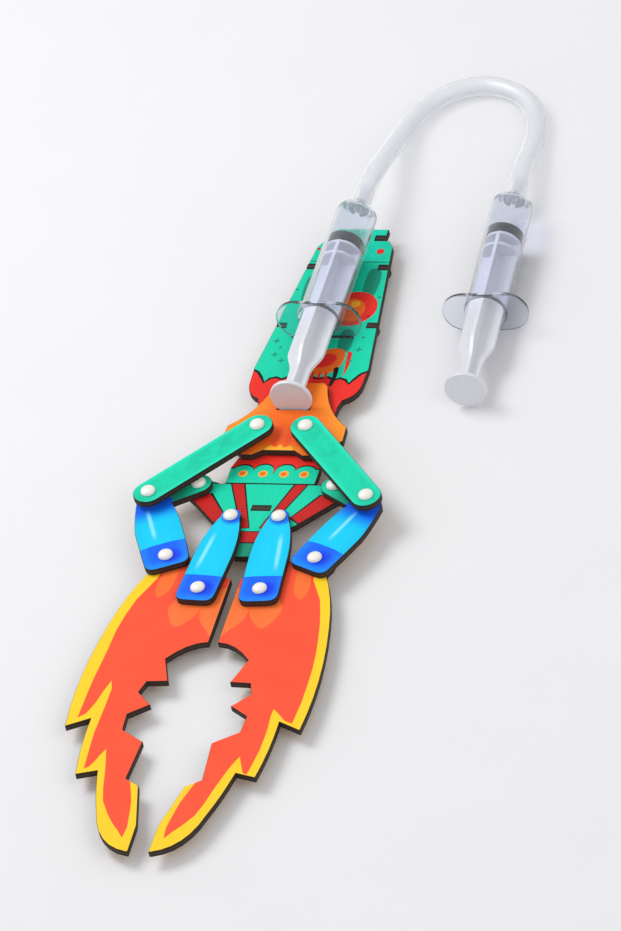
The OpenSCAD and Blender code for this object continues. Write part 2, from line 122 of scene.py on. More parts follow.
class ArmFinish(PropertyGroup):
    """Finish of the plywood and of the moulded pieces."""

    chamfer: FloatProperty(
        name="Chamfer",
        description="Worn edge round every plywood board, in millimetres",
        default=0.22,
        min=0.05,
        max=0.4,
    )
    grain: FloatProperty(
        name="Grain", description="How much the wood shows in the print", default=0.5, min=0, max=1
    )
    char: colour_prop("Char", "Laser-cut edges", srgb(44, 30, 22))
    wood: colour_prop("Wood", "Bare plywood faces", srgb(214, 180, 132))
    nylon: colour_prop("Nylon", "Rivets, caps and spacers", srgb(240, 236, 230))
    rod: colour_prop("Rod", "Plungers", srgb(222, 223, 230))
    rubber: colour_prop("Rubber", "Seals", srgb(12, 11, 13))
    clear: colour_prop("Clear", "Barrels", srgb(236, 240, 247))
    hose: colour_prop("Hose", "Hose", srgb(244, 246, 248))
    barrel_haze: FloatProperty(
        name="Barrel haze",
        description="Milkiness of a wall of a barrel",
        default=0.015,
        min=0,
        max=1,
    )
    hose_haze: FloatProperty(
        name="Hose haze",
        description="Milkiness of a wall of the hose",
        default=0.3,
        min=0,
        max=1,
    )


class ArmStage(PropertyGroup):
    """Floor, light and camera."""

    floor: colour_prop("Floor", "Floor and backdrop", srgb(232, 232, 234))
    sky: FloatProperty(
        name="Sky", description="Light from all round", default=0.62, min=0, max=2
    )
    key: FloatProperty(
        name="Key lamp", description="Power of the large lamp", default=7.5, min=0, unit="POWER"
    )
    fill: FloatProperty(
        name="Fill lamp", description="Power of the small lamp", default=3.2, min=0, unit="POWER"
    )
    height: FloatProperty(
        name="View height",
        description="Height of what the camera takes in",
        default=0.3866,
        min=0.1,
        unit="LENGTH",
    )


# ---- Shaders ----


class Value:
    """A socket of a shader; sums written with it add Math nodes."""

    def __init__(self, shader, socket):
        self.shader, self.socket = shader, socket

    def sum(self, operation, *inputs, clamp=False):
        return self.shader.node(
            "ShaderNodeMath", {"operation": operation, "use_clamp": clamp}, dict(enumerate(inputs))
        )

    def __add__(self, other):
        return self.sum("ADD", self, other)

    def __radd__(self, other):
        return self.sum("ADD", other, self)

    def __sub__(self, other):
        return self.sum("SUBTRACT", self, other)

    def __rsub__(self, other):
        return self.sum("SUBTRACT", other, self)

    def __mul__(self, other):
        return self.sum("MULTIPLY", self, other)

    def __rmul__(self, other):
        return self.sum("MULTIPLY", other, self)

    def __truediv__(self, other):
        return self.sum("DIVIDE", self, other)

    def __rtruediv__(self, other):
        return self.sum("DIVIDE", other, self)

    def __pow__(self, other):
        return self.sum("POWER", self, other)

    def __abs__(self):
        return self.sum("ABSOLUTE", self)

    def clamped(self):
        return self.sum("ADD", self, 0.0, clamp=True)

    def step(self, low, high):
        """0 up to low, 1 from high, and a soft ramp between them."""
        return self.shader.node(
            "ShaderNodeMapRange",
            {"interpolation_type": "SMOOTHSTEP"},
            {"Value": self, "From Min": low, "From Max": high},
        )


class Shader:
    """A material that is made from expressions."""

    def __init__(self, name):
        self.material = bpy.data.materials.new(name)
        self.material.use_nodes = True
        self.tree = self.material.node_tree
        self.tree.nodes.clear()

    def node(self, kind, settings=None, sockets=None, out=0):
        """Adds a node; its settings are set first, then the values or links of its sockets."""
        made = self.tree.nodes.new(kind)
        for key, value in (settings or {}).items():
            if key == "stops":
                ends = made.color_ramp.elements
                for element, (place, colour) in ((ends[0], value[0]), (ends[1], value[-1])):
                    element.position, element.color = place, (*colour, 1)
                for place, colour in value[1:-1]:
                    ends.new(place).color = (*colour, 1)
            else:
                setattr(made, key, value)
        for key, value in (sockets or {}).items():
            socket = made.inputs[key]
            if isinstance(value, Value):
                self.tree.links.new(value.socket, socket)
            elif socket.type == "RGBA":
                socket.default_value = (*value, 1) if len(value) == 3 else value
            else:
                socket.default_value = value
        return Value(self, made.outputs[out]) if made.outputs else None

    def place(self):
        """Object coordinates in millimetres."""
        here = self.node("ShaderNodeTexCoord", out="Object")
        return self.node(
            "ShaderNodeVectorMath", {"operation": "SCALE"}, {0: here, "Scale": 1 / MM}
        )

    def parts(self, vector):
        return [
            self.node("ShaderNodeSeparateXYZ", None, {"Vector": vector}, out=axis)
            for axis in "XYZ"
        ]

    def stretched(self, vector, by):
        return self.node("ShaderNodeVectorMath", {"operation": "MULTIPLY"}, {0: vector, 1: by})

    def noise(self, vector, scale, detail=2.0, roughness=0.5):
        return self.node(
            "ShaderNodeTexNoise",
            None,
            {"Vector": vector, "Scale": scale, "Detail": detail, "Roughness": roughness},
        )

    def mix(self, factor, first, second, blend="MIX"):
        return self.node(
            "ShaderNodeMix",
            {"data_type": "RGBA", "blend_type": blend},
            {0: factor, 6: first, 7: second},
            out=2,
        )

    def bump(self, height, distance, strength=1.0):
        return self.node(
            "ShaderNodeBump",
            None,
            {"Height": height, "Distance": distance, "Strength": strength},
            out="Normal",
        )

    def surface(self, **sockets):
        """Ends the material in a Principled shader; underscores in names stand for spaces."""
        named = {key.replace("_", " "): value for key, value in sockets.items()}
        shader = self.node("ShaderNodeBsdfPrincipled", None, named)
        self.node("ShaderNodeOutputMaterial", None, {"Surface": shader})
        return self.material


def wood_grain(shader, here):
    """Fine fibres along the arm, from 0 to 1."""
    fibres = shader.noise(shader.stretched(here, (1.5, 0.05, 1.5)), 1.6, 3.0, 0.6)
    return fibres.step(0.34, 0.68)


def printed(name, colour, tint=None):
    """Ink on sanded plywood under a satin varnish. tint changes the colour over the board."""
    shader = Shader(name)
    here = shader.place()
    amount = bpy.context.scene.arm_finish.grain
    fibres = wood_grain(shader, here)
    cloud = shader.noise(here, 0.09, 3.0, 0.55).step(0.3, 0.72)
    pores = shader.noise(shader.stretched(here, (4.0, 0.4, 4.0)), 1.3, 2.0).step(0.66, 0.78)
    ink = tint(shader, here) if tint else shader.mix(0.0, colour, colour)
    ink = shader.mix(fibres * (0.16 * amount), ink, (0.02, 0.03, 0.04))
    ink = shader.mix(cloud * (0.2 * amount), ink, (1.0, 1.0, 0.96), "SOFT_LIGHT")
    ink = shader.mix(pores * (0.22 * amount), ink, (0.1, 0.07, 0.05))
    return shader.surface(
        Base_Color=ink,
        Roughness=0.4 + 0.16 * fibres + 0.12 * pores,
        Normal=shader.bump(fibres * 0.6 - pores, 0.00006, 0.5),
        Specular_IOR_Level=0.16,
    )


def charred():
    """Laser-cut edge: three plies and two glue lines, burnt brown."""
    shader = Shader("charred_edge")
    here = shader.place()
    char = Vector(bpy.context.scene.arm_finish.char)
    _, _, height = shader.parts(here)
    streaks = shader.noise(shader.stretched(here, (1.0, 1.0, 0.12)), 1.1, 3.0)
    wavy = height / 3 + (shader.noise(here, 0.35) - 0.5) * 0.05
    plies = shader.node(
        "ShaderNodeValToRGB",
        {
            "stops": [
                (0.0, char * 0.5),
                (0.1, char * 0.9),
                (0.3, char),
                (0.345, char * 0.35),
                (0.39, char * 2.3),
                (0.61, char * 2.5),
                (0.655, char * 0.35),
                (0.7, char),
                (0.9, char * 0.8),
                (1.0, char * 0.4),
            ]
        },
        {"Fac": wavy},
    )
    burnt = shader.mix(streaks.step(0.35, 0.7) * 0.55, plies, char * 0.4)
    return shader.surface(
        Base_Color=burnt,
        Roughness=0.7 + 0.2 * streaks,
        Normal=shader.bump(streaks, 0.0002, 0.6),
    )


def bare_wood():
    """Unprinted birch face with soft figure, fibres and a few darker flecks."""
    shader = Shader("bare_plywood")
    here = shader.place()
    wood = Vector(bpy.context.scene.arm_finish.wood)
    figure = shader.noise(shader.stretched(here, (0.22, 0.02, 0.22)), 1.0, 2.0)
    bands = shader.noise(shader.stretched(here, (1.0, 0.03, 1.0)), 0.9, 4.0, 0.65)
    flecks = shader.noise(shader.stretched(here, (3.2, 0.35, 3.2)), 1.0, 1.0).step(0.68, 0.8)
    face = shader.mix(figure.step(0.3, 0.7), wood * 0.86, wood)
    face = shader.mix(bands.step(0.4, 0.72) * 0.4, face, wood * 0.62)
    face = shader.mix(flecks * 0.45, face, wood * 0.4)
    return shader.surface(
        Base_Color=face,
        Roughness=0.62 + 0.2 * bands,
        Normal=shader.bump(bands - flecks, 0.0001, 0.5),
    )


def moulded(name, colour, roughness, mottle=0.06, coat=0.0):
    """Plain moulded plastic with a faint flow mottle."""
    shader = Shader(name)
    here = shader.place()
    flow = shader.noise(here, 0.45, 3.0)
    fine = shader.noise(here, 6.0, 2.0)
    tint = shader.mix(flow.step(0.3, 0.7) * mottle * 2, colour, Vector(colour) * 0.8)
    return shader.surface(
        Base_Color=tint,
        Roughness=roughness + 0.12 * (flow - 0.5) + 0.06 * fine,
        Normal=shader.bump(fine, 0.00002, 0.4),
        Coat_Weight=coat,
        Coat_Roughness=0.12,
    )


def see_through(name, colour, roughness, bend, haze, shade):
    """Clear plastic that bends what is behind it and turns milky where it is seen edge on."""
    shader = Shader(name)
    here = shader.place()
    cloud = shader.noise(here, 0.3, 3.0)
    plastic = {
        "Base Color": colour,
        "Roughness": roughness + 0.03 * cloud,
        "IOR": bend,
        "Transmission Weight": 1.0,
        "Coat Weight": 0.3,
        "Coat Roughness": 0.04,
    }
    glass = shader.node("ShaderNodeBsdfPrincipled", None, plastic)
    milk = {"Base Color": srgb(246, 247, 250), "Roughness": 0.3}
    veil = shader.node("ShaderNodeBsdfPrincipled", None, milk)
    facing = shader.node("ShaderNodeLayerWeight", None, {"Blend": 0.5}, out="Facing")
    milkiness = haze * (0.95 + 0.1 * cloud) + facing.step(0.55, 1.0) * 0.45
    hazed = shader.node("ShaderNodeMixShader", None, {0: milkiness.clamped(), 1: glass, 2: veil})
    open_way = shader.node("ShaderNodeBsdfTransparent", None, {"Color": shade})
    shadow = shader.node("ShaderNodeLightPath", out="Is Shadow Ray")
    whole = shader.node("ShaderNodeMixShader", None, {0: shadow * (1 - haze), 1: hazed, 2: open_way})
    shader.node("ShaderNodeOutputMaterial", None, {"Surface": whole})
    return shader.material


def beside(shader, here, start, end):
    """Distance outwards from the line through two places, on either side of the arm."""
    across, along, _ = shader.parts(here)
    way = (end - start).normalized()
    return (abs(across) - start.x) * -way.y + (along - start.y) * way.x


def along_line(shader, here, start, end):
    """0 at start and 1 at end, on either side of the arm."""
    across, along, _ = shader.parts(here)
    way = (end - start) / (end - start).length_squared
    return (abs(across) - start.x) * way.x + (along - start.y) * way.y


def near_pin(shader, here, pin, shift=0.0):
    """Distance from a place, or from a spot beside it, on either side of the arm."""
    across, along, _ = shader.parts(here)
    return ((abs(across - shift) - pin.x) ** 2.0 + (along - pin.y) ** 2.0) ** 0.5


def painted_highlight(side, run, middle, half_length, half_width):
    """Mask of a painted highlight, a soft lens-shaped streak of lighter colour, from 0 to 1."""
    reach = 1 - abs(run - middle) / half_length
    return reach.step(0.0, 0.6) * (1 - (abs(side) / half_width).step(0.25, 1.0))


def slider_tint(shader, here):
    ink = bpy.context.scene.arm_print
    across, along, _ = shader.parts(here)
    wave = (shader.noise(here, 0.16, 2.0) - 0.5) * 5.0
    edge = (abs(across) + wave * 0.6 + (along - 44.0) * 0.35).step(8.0, 30.0)
    lip = (38.0 - along + wave * 0.3).step(0.0, 7.0) * (1 - abs(across).step(6.0, 14.0))
    warm = shader.mix(edge * 0.6, ink.orange, ink.yellow)
    warm = shader.mix(lip * 0.5, warm, ink.yellow)
    stripes = (1 - (abs(abs(across) - 2.6) / 2.2).step(0.0, 1.0)) * (1 - (along - 42.0).step(0.0, 9.0))
    middle = (1 - abs(across).step(2.0, 10.0)) * (1 - (along - 44.0).step(0.0, 10.0))
    return shader.mix((stripes + middle) * 0.28, warm, ink.red)


def link_tint(shader, here):
    ink = bpy.context.scene.arm_print
    green = Vector(ink.green)
    rim = (abs(beside(shader, here, SLIDER_PIN, LINK_PIN)) / 6.5).step(0.55, 1.0)
    run = along_line(shader, here, SLIDER_PIN, LINK_PIN)
    patch = shader.noise(here, 0.13, 2.0).step(0.4, 0.65)
    face = shader.mix(patch * (1 - rim) * 0.5, green, green * 0.72)
    face = shader.mix(rim * 0.55, face, green * 1.25 + Vector((0.02, 0.04, 0.07)))
    return shader.mix(run.step(0.7, 1.0) * 0.2, face, green * 0.8)


def arm_tint(shader, here):
    ink = bpy.context.scene.arm_print
    green = Vector(ink.green)
    run = along_line(shader, here, CRANK_PIVOT, LINK_PIN)
    return shader.mix(run.step(-0.1, 0.55) * 0.75, green * 0.95, Vector(ink.deep_green) * 0.8)


def blade_tint(shader, here):
    ink = bpy.context.scene.arm_print
    across, _, _ = shader.parts(here)
    run = along_line(shader, here, LINK_PIN, CRANK_JAW_PIN)
    side = beside(shader, here, LINK_PIN, CRANK_JAW_PIN)
    face = shader.mix((abs(side) / 9.5).step(0.3, 1.1) * 0.45, ink.cyan, Vector(ink.cyan) * 0.8)
    face = shader.mix(1 - run.step(0.12, 0.42), face, ink.blue)
    # The painted highlight streak lies on the same side of both blades
    shift = 2.4 - 4.2 * across.step(-0.1, 0.1)
    return shader.mix(painted_highlight(side - shift, run, 0.42, 0.3, 1.3) * 0.75, face, ink.painted_highlight)


def finger_tint(shader, here):
    ink = bpy.context.scene.arm_print
    run = along_line(shader, here, FINGER_PIVOT, FINGER_JAW_PIN)
    side = beside(shader, here, FINGER_PIVOT, FINGER_JAW_PIN)
    face = shader.mix((abs(side) / 8.5).step(0.3, 1.1) * 0.45, ink.cyan, Vector(ink.cyan) * 0.82)
    # Painted shadow of the pivot rivet: darker blue beside it, shifted the same way on both fingers
    painted_pivot_shadow = 1 - near_pin(shader, here, FINGER_PIVOT, 1.2).step(3.4, 6.6)
    face = shader.mix(painted_pivot_shadow * 0.95, face, Vector(ink.blue) * 0.9)
    # A lighter streak along each finger is a painted highlight
    slant = side - 3.9 - (run - 0.5) * 2.6
    return shader.mix(painted_highlight(slant, run, 0.5, 0.29, 1.35) * 0.75, face, ink.painted_highlight)


def end_tint(pin, far):
    """Blue end with a painted shadow of the rivet beside it, and paler towards its tip and border."""

    def tint(shader, here):
        ink = bpy.context.scene.arm_print
        blue = Vector(ink.blue)
        run = along_line(shader, here, far, pin)
        side = abs(beside(shader, here, far, pin))
        pale = shader.mix(0.32, ink.blue, ink.cyan)
        tip = run.step(1.04, 1.18)
        border = (side / 9.0).step(0.55, 1.0)
        face = shader.mix((tip + border * 0.6).clamped() * 0.8, ink.blue, pale)
        # Painted shadow of the rivet: a darker blue spot, shifted the same way on both sides
        painted_rivet_shadow = 1 - near_pin(shader, here, pin, 2.2).step(2.2, 6.2)
        return shader.mix(painted_rivet_shadow * 0.8, face, (blue.x * 0.5, blue.y * 0.22, blue.z * 0.85))

    return tint


def leaf_tint(shader, here):
    ink = bpy.context.scene.arm_print
    _, along, _ = shader.parts(here)
    glow = (along + 80.0).step(0.0, 36.0)
    return shader.mix(glow * 0.35, ink.flame_orange, ink.orange)


def make_materials():
    ink, finish = bpy.context.scene.arm_print, bpy.context.scene.arm_finish
    return {
        "green": printed("green_print", ink.green),
        "deep_green": printed("deep_green_print", ink.deep_green),
        "red": printed("red_print", ink.red),
        "dark_red": printed("dark_red_print", ink.dark_red),
        "orange": printed("orange_print", ink.orange),
        "yellow": printed("yellow_print", ink.yellow),
        "ink": printed("black_print", ink.ink),
        "slider": printed("slider_print", ink.orange, slider_tint),
        "link": printed("link_print", ink.green, link_tint),
        "arm": printed("crank_arm_print", ink.green, arm_tint),
        "blade": printed("crank_blade_print", ink.cyan, blade_tint),
        "finger": printed("finger_print", ink.cyan, finger_tint),
        "crank_end": printed("crank_end_print", ink.blue, end_tint(CRANK_JAW_PIN, LINK_PIN)),
        "finger_end": printed("finger_end_print", ink.blue, end_tint(FINGER_JAW_PIN, FINGER_PIVOT)),
        "flame_red": printed("flame_red_print", ink.flame_red),
        "flame_orange": printed("flame_orange_print", ink.flame_orange, leaf_tint),
        "flame_yellow": printed("flame_yellow_print", ink.flame_yellow),
        "char": charred(),
        "wood": bare_wood(),
        "nylon": moulded("white_nylon", finish.nylon, 0.34, 0.05, 0.3),
        "rod": moulded("milky_rod", finish.rod, 0.36, 0.1, 0.25),
        "rubber": moulded("black_rubber", finish.rubber, 0.48, 0.1),
        "clear": see_through(
            "clear_barrel", finish.clear, 0.05, 1.38, finish.barrel_haze, (0.68, 0.67, 0.73)
        ),
        "hose": see_through(
            "clear_hose", finish.hose, 0.08, 1.3, finish.hose_haze, (0.93, 0.93, 0.94)
        ),
    }


# ---- Shapes ----


class Shape:
    """Vertices and faces of one piece, gathered in millimetres in its own frame."""

    def __init__(self):
        self.verts, self.faces, self.slots = [], [], []

    def add(self, verts, faces, slots=0, matrix=None):
        start = len(self.verts)
        self.verts += [matrix @ Vector(v) if matrix else Vector(v) for v in verts]
        self.faces += [[start + i for i in face] for face in faces]
        self.slots += slots if isinstance(slots, list) else [slots] * len(faces)
        return self

    def turn(self, profile, matrix=None, sides=48, closed=False):
        """Turns a profile of (radius, height) points about the Z axis."""
        verts, rings = [], []
        for radius, height in profile:
            count = 1 if radius < 1e-6 else sides
            rings.append(range(len(verts), len(verts) + count))
            verts += [
                (
                    radius * math.cos(2 * math.pi * k / sides),
                    radius * math.sin(2 * math.pi * k / sides),
                    height,
                )
                for k in range(count)
            ]
        faces = []
        for low, high in zip(rings, rings[1:] + rings[:1] if closed else rings[1:]):
            for k in range(sides):
                corners = [
                    low[k % len(low)],
                    low[(k + 1) % len(low)],
                    high[(k + 1) % len(high)],
                    high[k % len(high)],
                ]
                faces.append(list(dict.fromkeys(corners)))
        return self.add(verts, [f for f in faces if len(f) > 2], 0, matrix)

    def mesh(self, name):
        data = bpy.data.meshes.new(name)
        data.from_pydata([v * MM for v in self.verts], [], self.faces)
        data.polygons.foreach_set("material_index", self.slots)
        work = bmesh.new()
        work.from_mesh(data)
        bmesh.ops.remove_doubles(work, verts=work.verts, dist=1e-6)
        bmesh.ops.recalc_face_normals(work, faces=work.faces)
        work.to_mesh(data)
        work.free()
        return data


def finished(data, name, materials, nodes, matrix=None, smooth=32):
    """Makes a mesh the piece that stands for some CAD nodes of one body."""
    for material in materials:
        data.materials.append(made_materials[material])
    data.shade_smooth()
    data.set_sharp_from_angle(angle=math.radians(smooth))
    piece = bpy.data.objects.new(name, data)
    bpy.context.scene.collection.objects.link(piece)
    if matrix:
        piece.matrix_world = matrix
    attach(piece, BODY_OF[nodes[0]])
    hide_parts(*nodes)
    return piece


def area(loop):
    return sum(a[0] * b[1] - b[0] * a[1] for a, b in zip(loop, loop[1:] + loop[:1])) / 2


def outline(node, axis=2):
    """Loops round a CAD board's top face, or with axis 1 its front face, outer loop first."""
    mesh = frame["nodes"][node].data
    mesh.calc_loop_triangles()
    across = [i for i in range(3) if i != axis]
    facing = 1 if axis == 2 else -1
    spots = [v.co / MM for v in mesh.vertices]
    level = max(spot[axis] * facing for spot in spots)
    ahead = set()
    for triangle in mesh.loop_triangles:
        corners = [spots[i] for i in triangle.vertices]
        if any(level - c[axis] * facing > 1e-3 for c in corners):
            continue
        keys = [tuple(round(c[i], 3) for i in across) for c in corners]
        for a, b in zip(keys, keys[1:] + keys[:1]):
            if (b, a) in ahead:
                ahead.remove((b, a))
            elif a != b:
                ahead.add((a, b))
    after, loops = dict(sorted(ahead)), []
    while after:
        first, here = after.popitem()
        loop = [first]
        while here != first:
            loop.append(here)
            here = after.pop(here)
        loops.append(loop)
    return sorted(loops, key=lambda loop: -abs(area(loop)))


def cut_faces(loops, prints):
    """Triangles of a board's face, with the print that each one shows."""
    points, polygons = [], []
    for loop in [*loops, *[shape for _, shape in prints]]:
        loop = loop if area(loop) > 0 else loop[::-1]
        polygons.append(list(range(len(points), len(points) + len(loop))))
        points += [Vector(p) for p in loop]
    spots, _, faces, _, _, inside = delaunay_2d_cdt(points, [], polygons, 1, 1e-4)
    kept = []
    for face, origins in zip(faces, inside):
        if 0 in origins and not any(0 < i < len(loops) for i in origins):
            shown = [i - len(loops) for i in origins if i >= len(loops)]
            kept.append((list(face), prints[max(shown)][0] if shown else 0))
    return spots, kept


def inward_moves(spots, kept):
    """The rim edges of a cut face, and how each rim point moves for one millimetre inwards."""
    rim = set()
    for face, _ in kept:
        for a, b in zip(face, face[1:] + face[:1]):
            if (b, a) in rim:
                rim.remove((b, a))
            else:
                rim.add((a, b))
    before = {b: a for a, b in rim}
    moves = {}
    for here, ahead in rim:
        sides = [
            (spots[here] - spots[before[here]]).normalized(),
            (spots[ahead] - spots[here]).normalized(),
        ]
        first, second = [Vector((-side.y, side.x)) for side in sides]
        moves[here] = (first + second) / max(1 + first.dot(second), 0.4)
    return sorted(rim), moves


def board(node, loops, prints, thickness=3.0):
    """Plywood board: printed top (slots 0 and 3 on), charred edge (1), bare back (2)."""
    spots, kept = cut_faces(loops, prints)
    rim, moves = inward_moves(spots, kept)
    chamfer = bpy.context.scene.arm_finish.chamfer
    shape = Shape()
    used = sorted({i for face, _ in kept for i in face})
    levels = []
    for height, inset, keys in (
        (0.0, chamfer, used),
        (chamfer, 0.0, sorted(moves)),
        (thickness - chamfer, 0.0, sorted(moves)),
        (thickness, chamfer, used),
    ):
        start = len(shape.verts)
        levels.append({key: start + i for i, key in enumerate(keys)})
        shape.add([(spots[k] + moves.get(k, Vector((0, 0))) * inset).to_3d() + Vector((0, 0, height)) for k in keys], [])
    back, low, high, top = levels
    for face, slot in kept:
        shape.faces += [[top[i] for i in face], [back[i] for i in reversed(face)]]
        shape.slots += [slot, 2]
    for a, b in rim:
        for lower, upper in ((back, low), (low, high), (high, top)):
            shape.faces.append([lower[a], lower[b], upper[b], upper[a]])
            shape.slots.append(1)
    return shape.mesh(node)


def printed_board(node, base, prints):
    """A printed CAD board, whose prints are (ink, outline) pairs, the upper ones last."""
    inks = list(dict.fromkeys(name for name, _ in prints))
    cut = [(3 + inks.index(name), shape) for name, shape in prints]
    low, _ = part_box(node)
    data = board(node, outline(node), cut)
    return finished(
        data,
        f"printed_{node}",
        [base, "char", "wood", *inks],
        [node],
        Matrix.Translation((0, 0, low.z)),
    )


def standing_board(node):
    """A bare CAD board that stands across the arm."""
    _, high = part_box(node)
    upright = Matrix(((1, 0, 0, 0), (0, 0, -1, high.y), (0, 1, 0, 0), (0, 0, 0, 1)))
    data = board(node, outline(node, 1), [])
    return finished(
        data, f"plywood_{node}", ["wood", "char", "wood"], [node], upright
    )


def sided(points, side):
    return [(x * side, y) for x, y in points]


def circle(centre, radius, steps=32):
    return [
        (
            centre[0] + radius * math.cos(2 * math.pi * k / steps),
            centre[1] + radius * math.sin(2 * math.pi * k / steps),
        )
        for k in range(steps)
    ]


def curve(points, steps=6):
    """A smooth closed line through a few points."""
    made = []
    for i in range(len(points)):
        a, b, c, d = (Vector(points[(i + k - 1) % len(points)]) for k in range(4))
        for k in range(steps):
            t = k / steps
            made.append(
                tuple(
                    0.5
                    * (
                        2 * b
                        + (c - a) * t
                        + (2 * a - 5 * b + 4 * c - d) * t**2
                        + (3 * b - a - 3 * c + d) * t**3
                    )
                )
            )
    return made


def line(points, width):
    """A stroke of one width along a few points."""
    points = [Vector(p) for p in points]
    left, right = [], []
    for i, here in enumerate(points):
        way = (points[min(i + 1, len(points) - 1)] - points[max(i - 1, 0)]).normalized()
        side = Vector((-way.y, way.x)) * width / 2
        left.append(tuple(here + side))
        right.append(tuple(here - side))
    return left + right[::-1]


def both(ink, points):
    return [(ink, points), (ink, sided(points, -1))]


def framed(pin, far, points):
    """Points given across and along a bar that runs from pin away from far."""
    along = (far - pin).normalized()
    across = Vector((along.y, -along.x))
    return [tuple(pin + across * x + along * y) for x, y in points]


# ---- Hose ----

# The hose's middle line, out of the arm's cone, round over the table and into the other
HOSE_ROUTE = [
    (0, 177.5, 17), (0, 184, 17), (0, 190.5, 16.7), (0.2, 198, 15.7), (0.4, 206, 14),
    (0.7, 214, 11.8), (1, 222, 9.5), (1.3, 230, 7.2), (2, 238, 5.4), (3.5, 246, 4.4),
    (7.2, 254.5, 4.2), (13.5, 261.8, 4.2), (21.5, 266.3, 4.2), (30.5, 268, 4.2),
    (39.5, 266.3, 4.2), (47.5, 261.8, 4.2), (53.8, 254.5, 4.2), (57.5, 246, 4.2),
    (59.3, 238, 4.4), (60, 230.5, 5.1), (60.6, 223.5, 6.4), (61, 216.5, 8.1),
    (61.5, 210, 9.4), (62, 204, 9.9), (62.5, 198, 10), (62.98, 191.8, 10),
]
HOSE_D = 8.2
HOSE_BORE = 4.8


def smooth_route(points, steps=4):
    """The route with more points, on one smooth curve through the given ones."""
    points = [Vector(p) for p in points]
    ends = [2 * points[0] - points[1], *points, 2 * points[-1] - points[-2]]
    made = []
    for a, b, c, d in zip(ends, ends[1:], ends[2:], ends[3:]):
        for k in range(steps):
            t = k / steps
            made.append(
                0.5
                * (
                    2 * b
                    + (c - a) * t
                    + (2 * a - 5 * b + 4 * c - d) * t**2
                    + (3 * b - a - 3 * c + d) * t**3
                )
            )
    return [*made, points[-1]]


class ARM_OT_hose(Operator):
    """Clear hose between the two syringes"""

    bl_idname = "arm.hose"
    bl_label = "Hose"

    def execute(self, context):
        route = smooth_route(HOSE_ROUTE)
        run = [0.0]
        for a, b in zip(route, route[1:]):
            run.append(run[-1] + (b - a).length)
        sides, verts = 28, []
        for i, here in enumerate(route):
            way = (route[min(i + 1, len(route) - 1)] - route[max(i - 1, 0)]).normalized()
            side = way.cross(Vector((0, 0, 1))).normalized()
            up = side.cross(way)
            # The hose is stretched a little where a nozzle fills it
            from_end = min(run[i], run[-1] - run[i])
            stretch = 1 + 0.03 * max(0.0, min(1.0, (11.0 - from_end) / 2))
            for radius in (HOSE_D / 2 * stretch, HOSE_BORE / 2):
                for k in range(sides):
                    turn = 2 * math.pi * k / sides
                    verts.append(here + radius * (math.cos(turn) * side + math.sin(turn) * up))
        faces = []
        step = 2 * sides
        for i in range(len(route) - 1):
            for k in range(sides):
                k2 = (k + 1) % sides
                a, b = i * step, (i + 1) * step
                faces.append([a + k, a + k2, b + k2, b + k])
                faces.append([a + sides + k2, a + sides + k, b + sides + k, b + sides + k2])
        last = (len(route) - 1) * step
        for k in range(sides):
            k2 = (k + 1) % sides
            faces.append([k2, k, sides + k, sides + k2])
            faces.append([last + k, last + k2, last + sides + k2, last + sides + k])
        shape = Shape().add(verts, faces)
        hose = finished(
            shape.mesh("hose"), "clear_hose", ["hose"], ["hose"], smooth=50
        )
        path = [tuple(p * MM) for p in route]
        return {"FINISHED"}


# ---- Printed boards ----


def head_prints():
    """Print on the head, neck and nose of the base plate."""
    prints = [
        ("dark_red", [(-30, -22), (30, -22), (30, -14.6), (-30, -14.6)]),
        ("deep_green", [(-10, -40), (10, -40), (10, -21.2), (-10, -21.2)]),
        ("ink", line([(-10, -14.6), (10, -14.6)], 0.8)),
        ("ink", line([(-10, -21.4), (10, -21.4)], 0.8)),
    ]
    prints += both("ink", [(10.6, 15.0), (17.2, 15.0), (6.2, -12.6), (1.9, -12.6)])
    prints += both("dark_red", [(11.3, 14.6), (16.4, 14.6), (5.5, -12.2), (2.5, -12.2)])
    prints += both("ink", [(23.4, 8.8), (36.0, 6.2), (26.0, -16.0), (13.6, -6.0)])
    prints += both("dark_red", [(24.2, 8.2), (36.0, 5.4), (26.0, -16.0), (14.6, -5.6)])
    prints.append(("red", [(-20, 15.4), (20, 15.4), (20, 66), (-20, 66)]))
    scallops = [(-19.8, 15.0), (-19.8, 24.0)]
    for centre, half, top in ((-13.6, 4.5, 26.0), (-4.7, 4.4, 26.6), (4.7, 4.4, 26.6), (13.6, 4.5, 26.0)):
        foot = 22.6
        scallops += [
            (centre - half * math.cos(math.pi * k / 8), foot + (top - foot) * math.sin(math.pi * k / 8))
            for k in range(1, 8)
        ]
        scallops.append((centre + half + 0.05, 20.6 if centre == -4.7 else 22.8))
    scallops[-1] = (19.8, 24.0)
    scallops.append((19.8, 15.0))
    rim = [(x * 1.005, y + 0.8) for x, y in scallops]
    prints.append(("ink", rim))
    prints.append(("green", scallops))
    prints.append(("ink", line([(-26, 14.9), (26, 14.9)], 0.8)))
    for centre in (-13.4, -4.6, 4.6, 13.4):
        prints.append(("yellow", circle((centre, 21.0), 2.0, 20)))
        prints.append(("orange", circle((centre - 0.2, 21.0), 1.25, 16)))
    for x, y in ((6.2, -1.5), (7.4, 0.6), (-7.0, 1.2), (-8.0, -0.8)):
        prints.append(("ink", circle((x, y), 0.4, 8)))
    return prints


def plus_mark(x, y, arm=1.5, width=0.7):
    return [
        ("deep_green", line([(x - arm, y), (x + arm, y)], width)),
        ("deep_green", line([(x, y - arm), (x, y + arm)], width)),
    ]


